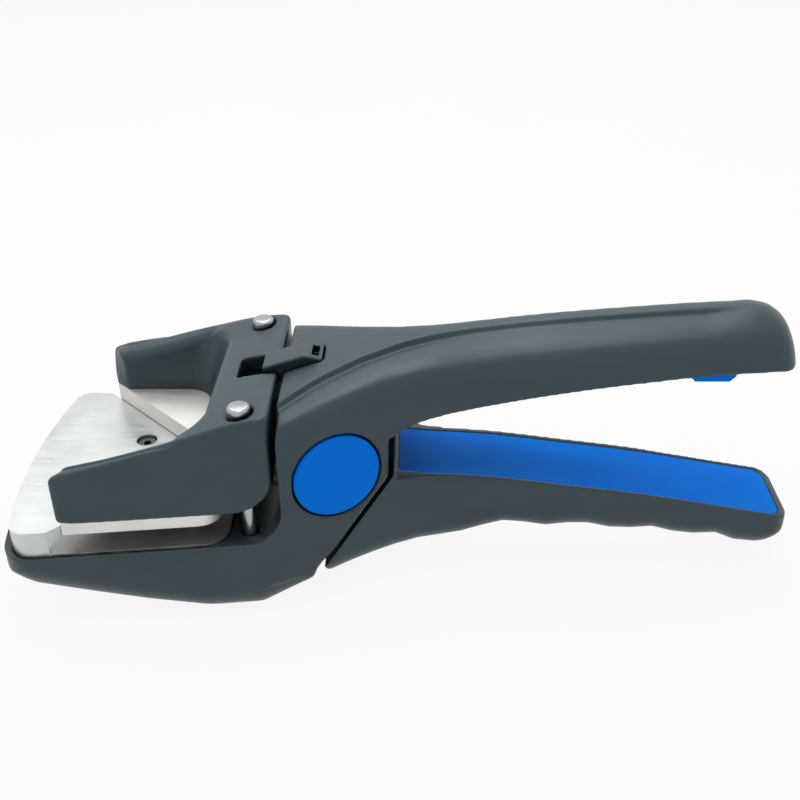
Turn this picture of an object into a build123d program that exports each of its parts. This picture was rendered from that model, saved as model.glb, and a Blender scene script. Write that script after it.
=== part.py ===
from build123d import *
import math
import os

# Hand-held plier cutter that rounds the corners of cards.
# A steel bed with a V point lies in the head of a moulded body. Squeezing the lower handle
# pulls a yoke with a V notched die down two headed posts, past the point of the bed.
# Millimetres. The origin lies on the flat foot under the belly, below the line of the posts.
# X runs back towards the handles, Z is square to the bed.

# Head and bed
BED_TOP = 33.0
BED_THICK = 13.0
LEDGE_DROP = 7.5
RIM_DROP = 8.0
RIM_WALL = 1.4
RIM_NOSE = 2.4
POCKET_GAP = 0.15
NOSE_X = -67.7
NOSE_RISE = 4.2
NOSE_CORNER = 5.0
BED_HALF = 31.1
HEAD_TAPER = 0.11
BED_REAR = -6.0
BED_REAR_CORNER = 7.0
BED_SCREW_X = -36.1
BED_SCREW_Y = 9.0
BED_SCREW_SINK = 1.0
BED_SCREW_LONG = 16.0

# V point and upper die
POINT_X = -16.5
CARD_RADIUS = 8.0
DIE_GAP = 0.25
DIE_TOP = 5.8
FENCE_DROP = 3.1
CARD_SLOT = 1.2
SLOT_HALF = 8.5
SLOT_BACK = 7.0
DIE_INSET = 2.6
DIE_REAR = -7.5
DIE_REAR_CORNER = 7.0
DIE_SCREW_X = -13.0
DIE_SCREW_Y = 20.0
DIE_SCREW_SINK = 0.5
DIE_SCREW_LONG = 12.0

# Yoke
SKIRT_WALL = 2.4
SKIRT_BOTTOM = 2.0
ARM_SETBACK = 1.4
WINDOW_HALF = 29.8
WINDOW_FOOT_X = -18.5
WINDOW_TOP_X = -8.0
WINDOW_FOOT_CORNER = 8.0
WINDOW_TOP_CORNER = 12.0
WINDOW_HIGH = 66.0
YOKE_REAR = 8.0
YOKE_REAR_CORNER = 12.0
YOKE_TOP = 64.8
YOKE_PLAN_CORNER = 2.5
YOKE_EDGE = 1.2
WINDOW_EDGE = 2.6
ARM_TIP = 5.0
ARM_FRONT = -51.0
ARM_TIP_PLAN = 1.2
YOKE_POCKET_HALF = 12.0
YOKE_POCKET_GAP = 1.0
YOKE_POCKET_TOP = 54.0
HEAD_GAP = 1.4

# Posts, bushes and spring
POST_Y = 25.6
POST_RADIUS = 2.1
POST_HEAD_RADIUS = 3.15
POST_HEAD_TALL = 3.6
POST_HEAD_TOP = 66.2
POST_ROOT = 11.0
POST_CHAMFER = 0.5
POST_HEAD_GAP = 0.65
RUNNING_GAP = 0.05
PLAY = 0.05
BUSH_COVER = 2.0
BUSH_WALL = 1.4
BUSH_LENGTH = 15.0
SPRING_RADIUS = 3.3
SPRING_WIRE = 0.6
SPRING_TURNS = 5
SPRING_RUN = 1.2
SPRING_TURN_IN = 1.4
SPRING_LEAD = 0.6

# Body and its handle
PIVOT_X = 24.9
PIVOT_Z = 42.5
FLANK_TAPER = 0.489
GRIP_HALF = 12.9
BODY_TOP = 64.4
THROAT_RADIUS = 10.0
BODY_BACK = 38.5
BOW_ROUND = 9.0
NECK_BLEND = 3.0
FACE_BLEND = 3.0
FLANK_FROM = -6.0
GRIP_FROM = 66.0
TAIL_CORNER = 3.5
TAIL_X = 149.0
TAIL_TOP = 82.4
TAIL_TALL = 14.0
TAIL_RADIUS = 10.5
SHOULDER = 12.5
SHOULDER_EASE = 4.3
SHOULDER_RUN = 9.0
BELLY_ROUND = 9.5
TIP_EDGE = 1.2
RIM_BAND = 1.5
BELLY_FRONT = (NOSE_X + 4.0, 14.0)
BOW_RISE = 8.5
FOOT_FRONT_X = -12.5
FOOT_REAR_X = 2.0
BELLY_REAR = (16.9, 7.2)
HANDLE_WALL = 3.4
HANDLE_CEILING = 7.0
CHANNEL_FRONT = 56.0
CHANNELS = 3
RIB_STEP = 21.0
RIB_THICK = 2.0
SLOT_ROOF = 52.5

# Lower handle, inlay and lever
HANDLE_GAP = 1.0
PARTING_X = 19.3
PARTING_Z = 12.0
PARTING_SLOPE = 1.286
LOWER_END = 154.6
LOWER_CORNER = 5.0
LOWER_ROUND = 8.0
INLAY_RIM = 1.6
INLAY_THICK = 2.0
INLAY_SINK = 0.4
INLAY_FRONT = 41.2
INLAY_REAR = 152.2
LEVER_HALF = 5.8
LEVER_SIDE_GAP = 0.5
FORK_HALF = 2.8
LEVER_BOSS = 8.5
LEVER_NOSE = 3.5
LEVER_KNEE = 5.2
LEVER_KNEE_X = 36.0
LEVER_KNEE_Z = 28.5
LEVER_TAIL = 4.6
LEVER_TAIL_X = 60.0
LEVER_TAIL_Z = 23.5
LEVER_SCREW_X = (46.5, 57.5)
LEVER_SCREW_LONG = 13.0
GROOVE_ROUND = 6.5

# Squeeze and stroke
HANDLE_SWING = 20.0
JAW_STROKE = 3.8

# Pivot and drive pins
PIVOT_PIN_RADIUS = 4.0
PIVOT_BUSH_WALL = 1.0
BUSH_SEAT_WALL = 1.1
PIVOT_PIN_HALF = 19.6
DRIVE_PIN_RADIUS = 2.0
TONGUE_HALF = 2.5
TONGUE_FRONT = 4.8
TONGUE_UNDER = 40.4
DRIVE_SLOT = 5.2
FLANGE_THICK = 3.0
FLANGE_HALF = 11.5
FLANGE_FRONT = -6.0
FLANGE_REAR = 7.5
FLANGE_SCREW_X = -1.0
FLANGE_SCREW_Y = 8.0
FLANGE_SCREW_LONG = 9.0

# Blue caps and bumper
CAP_RADIUS = 12.5
CAP_THICK = 2.3
CAP_RING = 0.5
CAP_SINK = 2.0
CAP_EDGE = 0.5
PAD_X = 127.6
PAD_LONG = 12.6
PAD_HALF = 8.0
PAD_DROP = 4.4
PAD_TALL = 8.1
PAD_CHAMFER = 1.6

# Latch
LATCH_HALF = 4.5
LATCH_FRONT = 3.5
LATCH_REAR = 20.3
LATCH_UNDER = 61.0
LATCH_PROUD = 0.8
LATCH_TRAVEL = 6.5
LATCH_SLOT_HALF = 5.5
LATCH_FOOT_HALF = 5.1
LATCH_FOOT_TALL = 1.4
LATCH_GAP = 0.15
LATCH_RISE = 0.32
LATCH_EDGE = 0.4
NAIL_SLOT_LONG = 2.0
NAIL_SLOT_HALF = 2.9
NAIL_SLOT_DEEP = 3.0
PLUNGER_X = 15.5
PLUNGER_RADIUS = 2.0
PLUNGER_TALL = 6.0

# Socket screws, M3 and M4
KEY_DEPTH = 0.6
SEAT_GAP = 0.4
M3 = dict(shank=1.5, head=2.75, tall=3.0, key=1.25)
M4 = dict(shank=2.0, head=3.5, tall=4.0, key=1.5)

# Levels and places that follow from the sizes above
bed_bottom = BED_TOP - BED_THICK
ledge_z = BED_TOP - LEDGE_DROP
rim_z = BED_TOP - RIM_DROP
die_top = BED_TOP + DIE_TOP
die_bottom = BED_TOP - FENCE_DROP
skirt_z = BED_TOP + SKIRT_BOTTOM
body_face = YOKE_REAR + HEAD_GAP
latch_slot_front = LATCH_FRONT - LATCH_TRAVEL - 0.7
latch_slot_floor = LATCH_UNDER - 3.5
latch_floor = LATCH_UNDER - LATCH_GAP
latch_end = LATCH_REAR + LATCH_GAP
tail_under = TAIL_TOP - TAIL_TALL
pad_bottom = tail_under - PAD_DROP - 1.1
pad_top = pad_bottom + PAD_TALL
bed_screw_seat = BED_TOP - BED_SCREW_SINK - M3["tall"]
die_screw_seat = die_bottom + DIE_SCREW_SINK + M3["tall"]
post_neck = POST_HEAD_TOP - POST_HEAD_TALL
post_seat = post_neck - RUNNING_GAP
bush_radius = POST_RADIUS + RUNNING_GAP + BUSH_WALL
pocket_front = FLANGE_FRONT - YOKE_POCKET_GAP
slot_half = LEVER_HALF + LEVER_SIDE_GAP
fork_radius = PIVOT_PIN_RADIUS + RUNNING_GAP + PIVOT_BUSH_WALL + BUSH_SEAT_WALL
tongue_back = PIVOT_X - fork_radius - LEVER_SIDE_GAP
flange_top = YOKE_POCKET_TOP
flange_under = flange_top - FLANGE_THICK
half_swing = math.radians(HANDLE_SWING / 2)
lever_arm_length = JAW_STROKE / (2 * math.sin(half_swing))
drive_x = PIVOT_X - lever_arm_length * math.cos(half_swing)
drive_z = PIVOT_Z + lever_arm_length * math.sin(half_swing)
spring_rise = flange_under - RUNNING_GAP - rim_z - 2 * SPRING_RUN - 4 * SPRING_TURN_IN
TALL = 120.0
WIDE = 120.0


def head_half(x):
    """Half width of the bed at x: the head narrows towards the handles."""
    return BED_HALF - HEAD_TAPER * x


def soft(value, blend):
    """The value where it is positive and nought elsewhere, with a soft turn between."""
    return 0.5 * (value + math.hypot(value, blend))


def flank_half(x):
    """Half width of the body: the head's sides, tapering flanks, then the grip width."""
    side = head_half(x) + RIM_WALL
    side -= (FLANK_TAPER - HEAD_TAPER) * soft(x - body_face, FACE_BLEND)
    return GRIP_HALF + soft(side - GRIP_HALF, NECK_BLEND)


def head_sketch(margin, front, rear):
    """Plan of the head between two x: an arched nose, sides that narrow to the rear."""
    corner_x = NOSE_X + NOSE_RISE
    with BuildSketch(Plane.XY) as plan:
        with BuildLine():
            Polyline(
                (corner_x, head_half(corner_x)),
                (YOKE_REAR, head_half(YOKE_REAR)),
                (YOKE_REAR, -head_half(YOKE_REAR)),
                (corner_x, -head_half(corner_x)),
            )
            ThreePointArc(
                (corner_x, -head_half(corner_x)),
                (NOSE_X, 0),
                (corner_x, head_half(corner_x)),
            )
        make_face()
        fillet(plan.vertices().group_by(Axis.X)[0], NOSE_CORNER)
        if margin:
            offset(amount=margin, kind=Kind.INTERSECTION)
        with BuildSketch(Plane.XY, mode=Mode.INTERSECT):
            with Locations(((front + rear) / 2, 0)):
                Rectangle(rear - front, WIDE)
    return plan.sketch


def bed_outline(margin):
    """Plan of the bed with its rounded rear corners, grown by the margin."""
    with BuildSketch(Plane.XY) as plan:
        add(head_sketch(0, NOSE_X - 1, BED_REAR))
        fillet(plan.vertices().group_by(Axis.X)[-1], BED_REAR_CORNER)
        if margin:
            offset(amount=margin, kind=Kind.INTERSECTION)
    return plan.sketch


def v_sketch(margin):
    """Plan of the V point of the bed, rounded to the card radius, open to the nose."""
    reach = WIDE / 2
    with BuildSketch(Plane.XY) as plan:
        with BuildLine():
            Polyline(
                (POINT_X, 0),
                (POINT_X - reach, reach),
                (POINT_X - 2 * reach, reach),
                (POINT_X - 2 * reach, -reach),
                (POINT_X - reach, -reach),
                close=True,
            )
        make_face()
        fillet(plan.vertices().group_by(Axis.X)[-1], CARD_RADIUS)
        if margin:
            offset(amount=margin, kind=Kind.INTERSECTION)
    return plan.sketch


def body_plan(tail_x, corner):
    """Plan of body and handle: head, flanks that blend into the grip, rounded end."""
    corner_x = NOSE_X + NOSE_RISE - RIM_NOSE
    stations = [FLANK_FROM + (GRIP_FROM - FLANK_FROM) * k / 10 for k in range(11)]
    with BuildSketch(Plane.XY) as plan:
        with BuildLine():
            ThreePointArc(
                (corner_x, flank_half(corner_x)),
                (NOSE_X - RIM_NOSE, 0),
                (corner_x, -flank_half(corner_x)),
            )
            for side in (1, -1):
                Line(
                    (corner_x, side * flank_half(corner_x)),
                    (FLANK_FROM, side * flank_half(FLANK_FROM)),
                )
                Spline(
                    *[(x, side * flank_half(x)) for x in stations],
                    tangents=((1, -side * HEAD_TAPER), (1, 0)),
                )
                Line((GRIP_FROM, side * flank_half(GRIP_FROM)), (tail_x, side * GRIP_HALF))
            Line((tail_x, GRIP_HALF), (tail_x, -GRIP_HALF))
        make_face()
        fillet(plan.vertices().group_by(Axis.X)[0], NOSE_CORNER + RIM_NOSE)
        fillet(plan.vertices().group_by(Axis.X)[-1], corner)
    return plan.sketch


def screw(size, length):
    """Socket screw: head seat at the origin, shank towards -Z, hexagon key in the head."""
    with BuildPart(mode=Mode.PRIVATE) as piece:
        Cylinder(size["head"], size["tall"], align=(Align.CENTER, Align.CENTER, Align.MIN))
        Cylinder(size["shank"], length, align=(Align.CENTER, Align.CENTER, Align.MAX))
        with BuildSketch(Plane.XY.offset(size["tall"])):
            RegularPolygon(size["key"], 6)
        extrude(amount=-size["tall"] * KEY_DEPTH, mode=Mode.SUBTRACT)
    return piece.part


def screw_hole(size, length):
    """Clear space for a screw: bore of the shank, seat of the head up to the open face."""
    with BuildPart(mode=Mode.PRIVATE) as space:
        Cylinder(size["shank"], length, align=(Align.CENTER, Align.CENTER, Align.MAX))
        Cylinder(
            size["head"] + SEAT_GAP, TALL / 2, align=(Align.CENTER, Align.CENTER, Align.MIN)
        )
    return space.part


def keep(piece, name):
    """Label a finished piece and write it."""
    piece.part.label = name
    export_step(piece.part, f"parts/{name}.step")


def parting_point(x, side):
    """Point of the parting at x, half the gap towards the handle (1) or the body (-1)."""
    shift = HANDLE_GAP / 2 * math.hypot(1, PARTING_SLOPE)
    return (x, PARTING_Z + (x - PARTING_X) * PARTING_SLOPE - side * shift)


def limb_sketch(near, near_r, far, far_r):
    """Side view of one limb of the lever: two rounds joined by their tangents."""
    with BuildSketch(Plane.XZ) as limb:
        with Locations(near):
            Circle(near_r)
        with Locations(far):
            Circle(far_r)
        make_hull()
    return limb.sketch_local


def lever_outline(margin):
    """Side view of the lever, grown by the margin: nose, boss, knee and tail."""
    with BuildSketch(Plane.XZ) as outline:
        add(limb_sketch(drive, LEVER_NOSE + margin, pivot, LEVER_BOSS + margin))
        add(limb_sketch(pivot, LEVER_BOSS + margin, knee, LEVER_KNEE + margin))
        add(limb_sketch(knee, LEVER_KNEE + margin, lever_tail, LEVER_TAIL + margin))
    return outline.sketch_local


def inlay_block(gap, rise):
    """Solid of the inlay under the top of the lower handle, with a gap round it."""
    with BuildPart(mode=Mode.PRIVATE) as block:
        with BuildSketch(Plane.XZ):
            with BuildLine():
                upper = Spline(*[(x, z - INLAY_SINK + rise) for x, z in handle_top])
                lower = Spline(*[(x, z - INLAY_SINK - INLAY_THICK) for x, z in handle_top])
                Line(upper @ 0, lower @ 0)
                Line(upper @ 1, lower @ 1)
            make_face()
        extrude(amount=WIDE / 2, both=True)
        with BuildSketch(Plane.XY) as plan:
            with Locations(((INLAY_FRONT + INLAY_REAR) / 2, 0)):
                Rectangle(INLAY_REAR - INLAY_FRONT, 2 * (GRIP_HALF - INLAY_RIM))
            fillet(plan.vertices().group_by(Axis.X)[-1], LOWER_CORNER - INLAY_RIM)
            fillet(plan.vertices().group_by(Axis.X)[0], INLAY_RIM)
            if gap:
                offset(amount=gap, kind=Kind.INTERSECTION)
        extrude(amount=TALL, mode=Mode.INTERSECT)
    return block.part


def height_on(line, x):
    """Height of a side line at x, found by halving along it."""
    low, high = 0.0, 1.0
    for _ in range(24):
        middle = (low + high) / 2
        if (line @ middle).X < x:
            low = middle
        else:
            high = middle
    return (line @ low).Y


def tail_half(x):
    """Half width of the upper handle, with the rounded corners of its end."""
    over = min(max(x - TAIL_X + TAIL_CORNER, 0), TAIL_CORNER)
    return flank_half(x) - TAIL_CORNER + math.sqrt(TAIL_CORNER**2 - over**2)


def shoulder_at(x):
    """Radius of the rounded shoulder at x: tight at the face, full on the grip."""
    radius = SHOULDER - SHOULDER_EASE * math.exp(-max(x - body_face, 0) / SHOULDER_RUN)
    return min(radius, tail_half(x))


def corner_section(x, half, level, radius, up):
    """Section at x of the tool that rounds an edge: up is 1 for a top edge, -1 for a lower one.
    The sign of half says on which side of the part the edge lies."""
    out = math.copysign(radius, half)
    inner = (half - out, level)
    outer = (half, level - up * radius)
    with BuildSketch(Plane.YZ.offset(x)) as section:
        with BuildLine():
            RadiusArc(inner, outer, up * out)
            Polyline(
                outer,
                (half + out, level - up * radius),
                (half + out, level + up * radius),
                (half - out, level + up * radius),
                inner,
            )
        make_face()
    return section.sketch


def latch_top(x):
    """Height of the top of the latch at x."""
    return YOKE_TOP + LATCH_PROUD + LATCH_RISE * (x - LATCH_FRONT)


def biarc_middle(start, end, leave, arrive):
    """Joint of two tangent arcs from start to end, and the heading there."""
    chord = end - start
    both = leave + arrive
    bend = 2 * (1 - leave.dot(arrive))
    along = chord.dot(both)
    reach = (math.sqrt(along**2 + bend * chord.dot(chord)) - along) / bend
    first = start + leave * reach
    last = end - arrive * reach
    return (first + last) * 0.5, (last - first).normalized()


def flank_plane(side, x, z):
    """Plane on the flank at x and z, facing out; side is -1 near, 1 far."""
    fall = (flank_half(x - 1) - flank_half(x + 1)) / 2
    return Plane(
        origin=(x, side * flank_half(x), z),
        x_dir=(1, -side * fall, 0),
        z_dir=(fall, side, 0),
    )


os.makedirs("parts", exist_ok=True)

pivot = (PIVOT_X, PIVOT_Z)
drive = (drive_x, drive_z)
knee = (LEVER_KNEE_X, LEVER_KNEE_Z)
lever_tail = (LEVER_TAIL_X, LEVER_TAIL_Z)
handle_top = [
    (40.0, 36.2),
    (54.0, 35.0),
    (66.0, 34.2),
    (90.0, 31.0),
    (108.0, 28.5),
    (127.5, 25.0),
    (152.6, 20.3),
]
grooves = [
    (21.5, 7.9),
    (26.7, 8.9),
    (37.8, 10.2),
    (49.7, 11.0),
    (60.5, 12.6),
    (73.6, 16.2),
    (84.3, 14.4),
    (93.8, 15.5),
    (107.0, 13.2),
    (115.0, 14.0),
    (125.8, 11.3),
    (133.7, 11.8),
    (LOWER_END - LOWER_ROUND, 8.4),
]
with BuildLine() as groove_line:
    Spline(*grooves, tangents=((1, 0.2), (1, 0)))
    RadiusArc(grooves[-1], (LOWER_END, grooves[-1][1] + LOWER_ROUND), -LOWER_ROUND)
groove_points = [Vector(grooves[0][0] - 4, grooves[0][1])]
for edge, steps in zip(groove_line.edges().sort_by(Axis.X), (20, 5)):
    groove_points += [edge @ (k / steps) for k in range(steps + (1 if steps < 20 else 0))]
with BuildLine() as handle_top_line:
    Spline(*handle_top)
lever_screw_seats = []
for x in LEVER_SCREW_X:
    seat = height_on(handle_top_line.line, x) - INLAY_SINK - INLAY_THICK - M3["tall"] - SEAT_GAP
    lever_screw_seats.append((x, 0, seat))

# Crest of the body and upper handle, seen from the side: x and the share of the rise
crest_shape = [(20.0, 0.2), (36.0, 0.41), (53.0, 0.59), (75.0, 0.76), (98.0, 0.88), (120.0, 0.97)]
with BuildLine() as crest:
    Spline(
        (body_face, BODY_TOP),
        *[(x, BODY_TOP + share * (TAIL_TOP - BODY_TOP)) for x, share in crest_shape],
        (TAIL_X - TAIL_RADIUS, TAIL_TOP),
        tangents=((1, 0.42), (1, 0)),
    )
crest_points = [Vector(body_face - 3, BODY_TOP - 1)] + [crest.line @ (k / 12) for k in range(13)]
for degrees in (25, 45, 60, 72):
    turn = math.radians(degrees)
    crest_points.append(
        Vector(
            TAIL_X - TAIL_RADIUS * (1 - math.sin(turn)),
            TAIL_TOP - TAIL_RADIUS * (1 - math.cos(turn)),
        )
    )
crest_points.append(Vector(TAIL_X + 1, TAIL_TOP - TAIL_RADIUS))
# Underside of the upper handle: x and its depth below the crest
handle_depth = [(131.0, 15.0), (102.5, 16.4), (75.0, 18.4), (46.0, 20.8)]
underside = [(x, height_on(crest.line, x) - depth) for x, depth in handle_depth]

# Body: the tray of the head, the cheeks round the pivot and the upper handle
with BuildPart() as body_housing:
    with BuildSketch(Plane.XY):
        add(body_plan(TAIL_X, TAIL_CORNER))
    extrude(amount=TALL)
    with BuildSketch(Plane.XZ) as side:
        with BuildLine():
            Line((NOSE_X - 3, rim_z), (body_face - THROAT_RADIUS, rim_z))
            RadiusArc(
                (body_face - THROAT_RADIUS, rim_z),
                (body_face, rim_z + THROAT_RADIUS),
                -THROAT_RADIUS,
            )
            Line((body_face, rim_z + THROAT_RADIUS), (body_face, BODY_TOP))
            add(crest.line)
            RadiusArc(
                (TAIL_X - TAIL_RADIUS, TAIL_TOP),
                (TAIL_X, TAIL_TOP - TAIL_RADIUS),
                TAIL_RADIUS,
            )
            Line((TAIL_X, TAIL_TOP - TAIL_RADIUS), (TAIL_X, tail_under))
            Spline((TAIL_X, tail_under), *underside)
            Polyline(
                underside[-1],
                (BODY_BACK, 49.6),
                parting_point(BODY_BACK, -1),
                parting_point(PARTING_X - 0.9, -1),
                BELLY_REAR,
                (FOOT_REAR_X, 0.0),
                (FOOT_FRONT_X, 0.0),
                BELLY_FRONT,
                (NOSE_X - 3, BELLY_FRONT[1] + BOW_RISE),
                (NOSE_X - 3, rim_z),
            )
        make_face()
        for x, radius in (
            (BELLY_FRONT[0], BOW_ROUND),
            (FOOT_FRONT_X, 20.0),
            (FOOT_REAR_X, 4.0),
            (BELLY_REAR[0], 4.0),
        ):
            fillet([v for v in side.vertices() if abs(v.X - x) < 0.01 and v.Y < 16], radius)
        belly_points = []
        for edge in side.edges().filter_by(lambda e: e.bounding_box().max.Y < 20).sort_by(Axis.X):
            steps = 1 if edge.geom_type == GeomType.LINE else 3
            found = sorted([edge @ (k / steps) for k in range(steps + 1)], key=lambda p: p.X)
            belly_points += found if not belly_points else found[1:]
    extrude(amount=WIDE / 2, both=True, mode=Mode.INTERSECT)
    # Rounded shoulders, cut by a corner tool that follows the crest and the flanks
    for side in (1, -1):
        for point in crest_points:
            half = side * tail_half(point.X)
            add(corner_section(point.X, half, point.Y, shoulder_at(point.X), 1))
        loft(ruled=True, mode=Mode.SUBTRACT)
    # Rounded belly edges, cut the same way along the underside
    for side in (1, -1):
        for point in belly_points:
            fade = TIP_EDGE + belly_points[-1].X - point.X
            radius = min(BELLY_ROUND, rim_z - RIM_BAND - point.Y, fade)
            add(corner_section(point.X, side * flank_half(point.X), point.Y, radius, -1))
        loft(ruled=True, mode=Mode.SUBTRACT)
    # Tray for the bed
    with BuildSketch(Plane.XY.offset(bed_bottom)):
        add(bed_outline(POCKET_GAP))
    extrude(amount=TALL, mode=Mode.SUBTRACT)
    # Slot for the lever, open to the throat, to the rear and to the parting
    with BuildSketch(Plane.XZ):
        with BuildLine():
            Polyline(
                (body_face - 2, rim_z + THROAT_RADIUS),
                (body_face - 2, SLOT_ROOF),
                (28.0, SLOT_ROOF + 1.5),
                (BODY_BACK + 7, 49.0),
                (BODY_BACK + 7, 28.0),
                (30.0, 24.0),
                close=True,
            )
        make_face()
    extrude(amount=slot_half, both=True, mode=Mode.SUBTRACT)
    # Pivot bore and the round recesses for its caps
    with BuildSketch(Plane.XZ):
        with Locations(pivot):
            Circle(PIVOT_PIN_RADIUS + PLAY)
    extrude(amount=WIDE / 2, both=True, mode=Mode.SUBTRACT)
    for side in (1, -1):
        with BuildSketch(flank_plane(side, PIVOT_X, PIVOT_Z).offset(-CAP_SINK)):
            Circle(CAP_RADIUS + CAP_RING)
        extrude(amount=CAP_RADIUS, mode=Mode.SUBTRACT)
    # Flat seat of the spring in the foot of the throat
    with BuildSketch(Plane.XY.offset(rim_z)):
        Circle(SPRING_RADIUS + SPRING_WIRE + SEAT_GAP)
    extrude(amount=THROAT_RADIUS, mode=Mode.SUBTRACT)
    # Blind bores for the posts and for the screws of the bed
    with BuildSketch(Plane.XY.offset(POST_ROOT)):
        with Locations((0, POST_Y), (0, -POST_Y)):
            Circle(POST_RADIUS + PLAY)
    extrude(amount=rim_z, mode=Mode.SUBTRACT)
    with BuildSketch(Plane.XY.offset(bed_screw_seat - BED_SCREW_LONG)):
        with Locations((BED_SCREW_X, BED_SCREW_Y), (BED_SCREW_X, -BED_SCREW_Y)):
            Circle(M3["shank"] + PLAY)
    extrude(amount=BED_SCREW_LONG, mode=Mode.SUBTRACT)
    # Channel of the latch with its undercut and the pocket of the detent plunger
    with BuildSketch(Plane.XY.offset(latch_floor)):
        with Locations(((body_face + latch_end) / 2, 0)):
            Rectangle(latch_end - body_face + 0.2, 2 * (LATCH_HALF + LATCH_GAP))
    extrude(amount=TALL, mode=Mode.SUBTRACT)
    with BuildSketch(Plane.XY.offset(latch_floor)):
        with Locations(((body_face + latch_end) / 2, 0)):
            Rectangle(latch_end - body_face + 0.2, 2 * (LATCH_FOOT_HALF + LATCH_GAP))
    extrude(amount=LATCH_FOOT_TALL + 2 * LATCH_GAP, mode=Mode.SUBTRACT)
    with BuildSketch(Plane.XY.offset(latch_floor)):
        with Locations((PLUNGER_X, 0)):
            Circle(PLUNGER_RADIUS + PLAY)
    extrude(amount=-PLUNGER_TALL, mode=Mode.SUBTRACT)
    # Ribbed channel under the handle, in front of the bumper
    for k in range(CHANNELS):
        front = CHANNEL_FRONT + k * RIB_STEP
        rear = front + RIB_STEP - RIB_THICK
        with BuildSketch(Plane.XZ):
            with BuildLine():
                Polyline(
                    (front, BODY_BACK),
                    (front, height_on(crest.line, front) - HANDLE_CEILING),
                    (rear, height_on(crest.line, rear) - HANDLE_CEILING),
                    (rear, BODY_BACK),
                    close=True,
                )
            make_face()
        extrude(amount=GRIP_HALF - HANDLE_WALL, both=True, mode=Mode.SUBTRACT)
    # Pocket of the bumper pad
    with BuildSketch(Plane.XY.offset(pad_top)):
        with Locations((PAD_X, 0)):
            Rectangle(PAD_LONG + 2 * PLAY, 2 * (PAD_HALF + PLAY))
    extrude(amount=-PAD_TALL, mode=Mode.SUBTRACT)
keep(body_housing, "body_housing")

# Steel bed: a plate in the tray with the raised V point on top
with BuildPart() as bed_plate:
    with BuildSketch(Plane.XY.offset(bed_bottom)):
        add(bed_outline(0))
    extrude(amount=ledge_z - bed_bottom)
    with BuildSketch(Plane.XY.offset(bed_bottom)):
        add(bed_outline(0))
        add(v_sketch(0), mode=Mode.INTERSECT)
    extrude(amount=BED_THICK)
    with Locations(
        (BED_SCREW_X, BED_SCREW_Y, bed_screw_seat), (BED_SCREW_X, -BED_SCREW_Y, bed_screw_seat)
    ):
        add(screw_hole(M3, BED_SCREW_LONG), mode=Mode.SUBTRACT)
keep(bed_plate, "bed_plate")

for side, place in ((-1, "near"), (1, "far")):
    with BuildPart() as bed_screw:
        with Locations((BED_SCREW_X, side * BED_SCREW_Y, bed_screw_seat)):
            add(screw(M3, BED_SCREW_LONG))
    keep(bed_screw, f"bed_screw_{place}")

# Steel die: its V notch shears past the point of the bed, and its raised middle
# leaves the space where the corner of the card goes in
with BuildPart() as upper_die:
    with BuildSketch(Plane.XY.offset(die_bottom)) as outline:
        add(head_sketch(-DIE_INSET, NOSE_X, DIE_REAR))
        fillet(outline.vertices().group_by(Axis.X)[-1], DIE_REAR_CORNER)
        add(v_sketch(DIE_GAP), mode=Mode.SUBTRACT)
    extrude(amount=die_top - die_bottom)
    with BuildSketch(Plane.XY.offset(die_bottom)):
        with Locations((POINT_X + SLOT_BACK - WIDE / 2, 0)):
            Rectangle(WIDE, 2 * SLOT_HALF)
    extrude(amount=BED_TOP + CARD_SLOT - die_bottom, mode=Mode.SUBTRACT)
    with Locations(
        Plane((DIE_SCREW_X, DIE_SCREW_Y, die_screw_seat), x_dir=(1, 0, 0), z_dir=(0, 0, -1)),
        Plane((DIE_SCREW_X, -DIE_SCREW_Y, die_screw_seat), x_dir=(1, 0, 0), z_dir=(0, 0, -1)),
    ):
        add(screw_hole(M3, DIE_SCREW_LONG), mode=Mode.SUBTRACT)
keep(upper_die, "upper_die")

for side, place in ((-1, "near"), (1, "far")):
    with BuildPart() as die_screw:
        with Locations(
            Plane(
                (DIE_SCREW_X, side * DIE_SCREW_Y, die_screw_seat),
                x_dir=(1, 0, 0),
                z_dir=(0, 0, -1),
            )
        ):
            add(screw(M3, DIE_SCREW_LONG))
    keep(die_screw, f"die_screw_{place}")

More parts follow.
